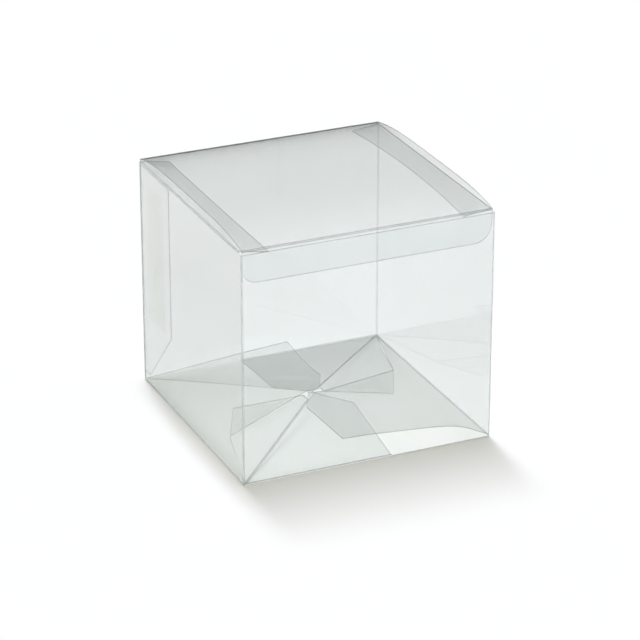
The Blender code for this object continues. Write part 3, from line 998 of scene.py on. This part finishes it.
        # A painted shade line along the bend, from the back left corner, fading out near the middle.
        line[len(front) - 1] = self.bend_strength * np.clip(self.bend_end_step - steps, 0, 1)
        height = self.sagged_height(plan[..., 0], plan[..., 1])
        return np.concatenate([plan, height[..., None]], axis=-1), line

    def diagonal(self) -> np.ndarray:
        """Crease between the front flap and its tab: a low bead carried along the diagonal, whose height is
        diagonal_height * cos(pi / 2 * w), where w runs from -1 to 1 across it."""
        at = self.at
        start = -at.wall_x + 2 * at.setback
        end = -self.tab_tip_cut
        along = np.linspace(start, end, self.diagonal_grid[1])
        wave = np.linspace(-1, 1, self.diagonal_grid[0])
        aside = wave[:, None] * self.diagonal_half_width / np.sqrt(2)
        x, y = along[None, :] + aside, along[None, :] - aside
        base = at.foot_z + (np.minimum(x, y) + at.wall_x) * tan(at.flap_rise)
        bead = self.diagonal_height * np.cos(pi / 2 * wave)[:, None]
        return np.stack([x, y, base + bead], axis=-1)

    def build(self) -> None:
        """Makes each piece near the front left corner and its copy a half turn round the box."""
        half_turn = np.array([-1, -1, 1])
        folded, tab, diagonal = self.folded_flap(), self.tab(), self.diagonal()
        self.sheet_piece("front_bottom_flap", folded, Body.CARTON, (False, True, False, True))
        self.sheet_piece("back_bottom_flap", folded * half_turn, Body.CARTON, (False, True, False, True))
        for node, mid in (("front_glue_tab", tab), ("back_glue_tab", tab * half_turn)):
            self.sheet_piece(node, mid, Body.CARTON, (False, True, True, True), self.glued(tab))
        self.fold_piece("front_diagonal_crease", diagonal, (Body.CARTON,))
        self.fold_piece("back_diagonal_crease", diagonal * half_turn, (Body.CARTON,))
        left, bend = self.left_lock_flap()
        self.sheet_piece("left_bottom_flap", left, Body.CARTON, (True, True, False, True), line=bend)
        right = self.right_lock_flap() * half_turn
        self.sheet_piece("right_bottom_flap", right, Body.CARTON, (True, True, False, True))


@dataclass
class Lid(SubAssembly):
    """Bowed lid with its hinge fold, tuck fold and tuck flap."""

    bow_power: int = 4
    lean: float = radians(6)
    tuck_radius: float = 8 * MM
    panel_rows: int = 60
    tuck_grid: tuple[int, int] = (14, 30)
    arc_steps: int = 14

    def bow(self, y: np.ndarray) -> tuple[np.ndarray, np.ndarray]:
        """Height and slope of the lid: crown * (1 - |s| ** bow_power), where s runs from -1 at the tuck to 1
        at the hinge.

        Args:
            y: places along the lid.

        Returns:
            Heights and slopes.
        """
        at = self.at
        half, middle = (at.wall_y - at.tuck_y) / 2, (at.wall_y + at.tuck_y) / 2
        s = (y - middle) / half
        height = at.hinge_z + at.crown * (1 - np.abs(s) ** self.bow_power)
        slope = -at.crown * self.bow_power * np.sign(s) * np.abs(s) ** (self.bow_power - 1) / half
        return height, slope

    def panel(self) -> np.ndarray:
        """Mid-surface of the lid: the bow carried from side to side."""
        at = self.at
        y = np.linspace(at.tuck_y + at.setback, at.wall_y - at.setback, self.panel_rows)
        x = at.lid_half * (knot_steps(2, self.span_steps, at.edge_strip / at.lid_half) - 1)
        height, _ = self.bow(y)
        rows = np.stack([np.zeros_like(y), y, height], axis=-1)
        return rows[:, None, :] + x[None, :, None] * np.array([1, 0, 0])

    def tuck(self) -> np.ndarray:
        """Mid-surface of the tuck flap: it hangs from the tuck fold, leans inwards and has round corners."""
        at = self.at
        length = (at.hinge_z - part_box("tuck_flap")[0][2]) / cos(self.lean)
        straight = at.lid_half - self.tuck_radius
        turn = np.linspace(0, pi / 2, self.arc_steps)
        corner = straight + self.tuck_radius * np.sin(turn)
        middle = np.linspace(-straight, straight, self.tuck_grid[1])[1:-1]
        x = np.concatenate([-corner[::-1], middle, corner])
        over = np.clip(np.abs(x) - straight, 0, self.tuck_radius)
        depth = length - self.tuck_radius + np.sqrt(self.tuck_radius ** 2 - over ** 2)
        near = np.stack([x, np.full_like(x, at.setback)], axis=-1)
        far = np.stack([x, depth], axis=-1)
        flat = across(near, far, self.tuck_grid[0], at.edge_strip)
        return np.stack([flat[..., 0], at.tuck_y + flat[..., 1] * sin(self.lean),
                         at.hinge_z - flat[..., 1] * cos(self.lean)], axis=-1)

    def build(self) -> None:
        """Makes the lid, its two folds and the tuck flap."""
        at = self.at
        self.sheet_piece("lid_panel", self.panel(), Body.LID, (False, False, True, True))
        ends = np.array([at.tuck_y + at.setback, at.wall_y - at.setback])
        heights, slopes = self.bow(ends)
        run = np.array([2 * at.lid_half, 0, 0])
        back_way = np.array([0, -1, -slopes[1]]) / np.hypot(1, slopes[1])
        hinge_foot = np.array([-at.lid_half, at.wall_y, at.hinge_z - at.setback])
        hinge = fold_surface(hinge_foot, np.array([0, 0, 1]),
                             np.array([-at.lid_half, ends[1], heights[1]]), back_way, run)
        self.fold_piece("lid_hinge_crease", hinge, (Body.CARTON, Body.LID))
        front_way = np.array([0, -1, -slopes[0]]) / np.hypot(1, slopes[0])
        down = np.array([0, sin(self.lean), -cos(self.lean)])
        tuck_top = np.array([-at.lid_half, at.tuck_y, at.hinge_z]) + at.setback * down
        tuck_start = np.array([-at.lid_half, ends[0], heights[0]])
        tuck_fold = fold_surface(tuck_start, front_way, tuck_top, down, run)
        self.fold_piece("tuck_crease", tuck_fold, (Body.LID, Body.TUCK))
        self.sheet_piece("tuck_flap", self.tuck(), Body.TUCK, (False, True, True, True))


@dataclass
class DustFlap(SubAssembly):
    """Dust flap on the top crease of a side wall, with its fold."""

    side: Side = Side.LEFT
    hollow: float = 0.4 * MM
    corner_radius: float = 1 * MM
    grid: tuple[int, int] = (12, 34)
    arc_steps: int = 10

    def build(self) -> None:
        """Makes the flap and its fold.

        The free edge stands back by hollow * (1 - s squared), where s runs from -1 to 1 along it, and its
        back corner is a quarter circle.
        """
        at, sign = self.at, self.side.value
        name = self.side.name.lower()
        body = Body.LEFT_DUST if self.side is Side.LEFT else Body.RIGHT_DUST
        low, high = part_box(name + "_dust_flap")
        inner = low[0] if self.side is Side.RIGHT else high[0]
        drop = at.dust_z - low[2] - at.sheet / 2
        run = at.wall_x - abs(inner)
        droop, reach = atan2(drop, run), float(np.hypot(drop, run))
        front, back = low[1], at.wall_y - 2 * at.setback
        turn = np.linspace(0, pi / 2, self.arc_steps)
        corner = back - self.corner_radius * (1 - np.sin(turn))
        straight = np.linspace(front, corner[0], self.grid[1])
        straight[1] = front + at.edge_strip
        y = np.concatenate([straight[:-1], corner])
        share = np.clip(2 * (y - front) / (corner[0] - front) - 1, -1, 1)
        over = np.clip(y - corner[0], 0, self.corner_radius)
        edge = (reach - self.hollow * (1 - share ** 2) - self.corner_radius
                + np.sqrt(self.corner_radius ** 2 - over ** 2))
        near = np.stack([np.full_like(y, at.setback), y], axis=-1)
        far = np.stack([edge, y], axis=-1)
        flat = across(near, far, self.grid[0], at.edge_strip)
        mid = np.stack([sign * (at.wall_x - flat[..., 0] * cos(droop)), flat[..., 1],
                        at.dust_z - flat[..., 0] * sin(droop)], axis=-1)
        self.sheet_piece(name + "_dust_flap", mid, body, (False, True, True, True))
        way = np.array([-sign * cos(droop), 0, -sin(droop)])
        start = np.array([sign * at.wall_x, front, at.dust_z - at.setback])
        end = np.array([sign * at.wall_x, front, at.dust_z]) + at.setback * way
        fold = fold_surface(start, np.array([0, 0, 1]), end, way, np.array([0, back - front, 0]))
        self.fold_piece(name + "_dust_crease", fold, (Body.CARTON, body))


def dress_glue(finishes: Finishes) -> None:
    """Gives the three glue films, which keep their own solids, the dried glue.

    Args:
        finishes: shared materials.
    """
    for node in ("seam_glue_film", "front_tab_glue_film", "back_tab_glue_film"):
        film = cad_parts[node]
        film.data.materials.clear()
        film.data.materials.append(finishes.glue)
        LOG.info("%s keeps its solid", node)


@dataclass
class Studio:
    """White floor and background, a strip of soft lamps, plain light from all round, and the camera."""

    floor_half: float = 12.0
    floor_colour: str = "#FCFCFC"
    floor_lift: float = 0.05
    lamp_count: int = 8
    lamp_level: float = 0.70
    lamp_colour: str = "#FBFDFF"
    lamp_spread: float = radians(8)
    lamp_turn: float = radians(2)
    lamp_elevations: tuple[float, float] = (radians(61), radians(92))
    room_colour: str = "#FFFDF8"
    room_level: float = 0.30
    surround_radius: float = 6.0
    surround_low: float = 0.08
    surround_rise: float = 0.80
    surround_colour: str = "#FFFFFC"
    surround_grid: tuple[int, int] = (49, 25)
    surround_pole: float = 0.001
    focal_mm: float = 170.9
    azimuth: float = radians(-24.05)
    elevation: float = radians(24.14)
    distance: float = 1.368
    target: tuple[float, float, float] = (0.0008, -0.0053, 0.0456)
    sight: float = 100.0
    clear_layers: int = 64
    bounces: int = 16
    gloss_bounces: int = 8

    def seen_rays(self, tree: bpy.types.NodeTree) -> bpy.types.NodeSocket:
        """Adds the test for rays that the eye sees, straight or by way of gloss or glass.

        Args:
            tree: node tree that gets the nodes.

        Returns:
            Output that is 1 for those rays and 0 for the others.
        """
        path = add_node(tree, "ShaderNodeLightPath")
        seen = add_node(tree, "ShaderNodeMath", {"operation": "MAXIMUM"}, {
            0: path.outputs["Is Camera Ray"], 1: path.outputs["Is Glossy Ray"]})
        through = add_node(tree, "ShaderNodeMath", {"operation": "MAXIMUM"}, {
            0: seen.outputs[0], 1: path.outputs["Is Transmission Ray"]})
        return through.outputs[0]

    def build_floor(self) -> None:
        """Makes the floor: a square of matt white board that keeps the shadow, and is lifted to full white
        for the eye and for what gloss and glass show."""
        material, tree, output = new_material("matt_white_board")
        board = add_node(tree, "ShaderNodeBsdfPrincipled", {}, {
            "Base Color": linear(self.floor_colour), "Roughness": 1.0, "Specular IOR Level": 0.0})
        lift = add_node(tree, "ShaderNodeEmission", {}, {"Color": (1, 1, 1, 1)})
        strength = add_node(tree, "ShaderNodeMath", {"operation": "MULTIPLY"}, {
            0: self.seen_rays(tree), 1: self.floor_lift})
        tree.links.new(strength.outputs[0], lift.inputs["Strength"])
        both = add_node(tree, "ShaderNodeAddShader", {}, {0: board.outputs[0], 1: lift.outputs[0]})
        tree.links.new(both.outputs[0], output.inputs["Surface"])
        s = self.floor_half
        mesh = bpy.data.meshes.new("floor")
        mesh.from_pydata([(-s, -s, 0), (s, -s, 0), (s, s, 0), (-s, s, 0)], [], [(0, 1, 2, 3)])
        mesh.materials.append(material)
        floor = bpy.data.objects.new("floor", mesh)
        bpy.context.scene.collection.objects.link(floor)

    def build_world(self) -> None:
        """Makes the world: a white background for what the eye sees, and plain soft light for the rest."""
        scene = bpy.context.scene
        scene.world = scene.world or bpy.data.worlds.new("studio_world")
        scene.world.use_nodes = True
        tree = scene.world.node_tree
        tree.nodes.clear()
        background = add_node(tree, "ShaderNodeBackground", {}, {"Color": (1, 1, 1, 1), "Strength": 1.0})
        room = add_node(tree, "ShaderNodeBackground", {}, {
            "Color": linear(self.room_colour), "Strength": self.room_level})
        either = add_node(tree, "ShaderNodeMixShader", {}, {
            0: self.seen_rays(tree), 1: room.outputs[0], 2: background.outputs[0]})
        output = add_node(tree, "ShaderNodeOutputWorld")
        tree.links.new(either.outputs[0], output.inputs["Surface"])

    def build_lamps(self) -> None:
        """Makes a strip of soft lamps from behind the box to over it, turned a little to the right.

        Together they light the floor at the lamps' level, as the sum of strength times the sine of the
        elevation over pi.
        """
        elevations = np.linspace(*self.lamp_elevations, self.lamp_count)
        strength = self.lamp_level * pi / np.sin(elevations).sum()
        for number, elevation in enumerate(elevations.tolist()):
            lamp = bpy.data.lights.new(f"strip_lamp_{number}", "SUN")
            lamp.energy = strength
            lamp.color = linear(self.lamp_colour)[:3]
            lamp.angle = self.lamp_spread
            holder = bpy.data.objects.new(f"strip_lamp_{number}", lamp)
            holder.rotation_euler = (-(pi / 2 - elevation), self.lamp_turn, 0)
            bpy.context.scene.collection.objects.link(holder)

    def build_surround(self) -> None:
        """Makes the studio walls that gloss shows: a dome, dim at the horizon and bright overhead.

        Its level is low + rise * (height over radius). Only glossy rays see it.
        """
        material, tree, output = new_material("studio_surround")
        place = add_node(tree, "ShaderNodeTexCoord")
        split = add_node(tree, "ShaderNodeSeparateXYZ", {}, {"Vector": place.outputs["Object"]})
        level = add_node(tree, "ShaderNodeMath", {"operation": "MULTIPLY_ADD"}, {
            0: split.outputs["Z"], 1: self.surround_rise / self.surround_radius, 2: self.surround_low})
        glow = add_node(tree, "ShaderNodeEmission", {}, {
            "Color": linear(self.surround_colour), "Strength": level.outputs[0]})
        tree.links.new(glow.outputs[0], output.inputs["Surface"])
        turn, climb = np.meshgrid(np.linspace(0, 2 * pi, self.surround_grid[0]),
                                  np.linspace(0, pi / 2 - self.surround_pole, self.surround_grid[1]))
        points = self.surround_radius * np.stack(
            [np.cos(climb) * np.cos(turn), np.cos(climb) * np.sin(turn), np.sin(climb)], axis=-1)
        index = np.arange(turn.size).reshape(turn.shape)
        mesh = bpy.data.meshes.new("studio_surround")
        mesh.from_pydata(points.reshape(-1, 3).tolist(), [], grid_quads(index).tolist())
        mesh.materials.append(material)
        dome = bpy.data.objects.new("studio_surround", mesh)
        dome.visible_camera = dome.visible_diffuse = dome.visible_transmission = False
        dome.visible_shadow = dome.visible_volume_scatter = False
        bpy.context.scene.collection.objects.link(dome)

    def build_camera(self) -> None:
        """Makes the camera at the photograph's angle."""
        data = bpy.data.cameras.new("camera")
        data.lens = self.focal_mm
        data.clip_end = self.sight
        back = Vector((sin(self.azimuth) * cos(self.elevation), -cos(self.azimuth) * cos(self.elevation),
                       sin(self.elevation)))
        camera = bpy.data.objects.new("camera", data)
        camera.location = Vector(self.target) + back * self.distance
        camera.rotation_euler = (-back).to_track_quat("-Z", "Y").to_euler()
        bpy.context.scene.collection.objects.link(camera)
        bpy.context.scene.camera = camera

    def build(self) -> None:
        """Makes the whole studio."""
        self.build_floor()
        self.build_world()
        self.build_lamps()
        self.build_surround()
        self.build_camera()
        scene = bpy.context.scene
        scene.view_settings.view_transform = "Standard"
        scene.cycles.transparent_max_bounces = self.clear_layers
        scene.cycles.max_bounces = self.bounces
        scene.cycles.glossy_bounces = self.gloss_bounces


def main() -> None:
    logging.basicConfig(level=logging.INFO, format="%(name)s: %(message)s")
    at, finishes = Datums.from_frame(), Finishes()
    Walls(at, finishes).build()
    Seam(at, finishes).build()
    Bottom(at, finishes).build()
    Lid(at, finishes).build()
    DustFlap(at, finishes, side=Side.LEFT).build()
    DustFlap(at, finishes, side=Side.RIGHT, hollow=3 * MM).build()
    dress_glue(finishes)
    Studio().build()


if __name__ == "__main__":
    main()
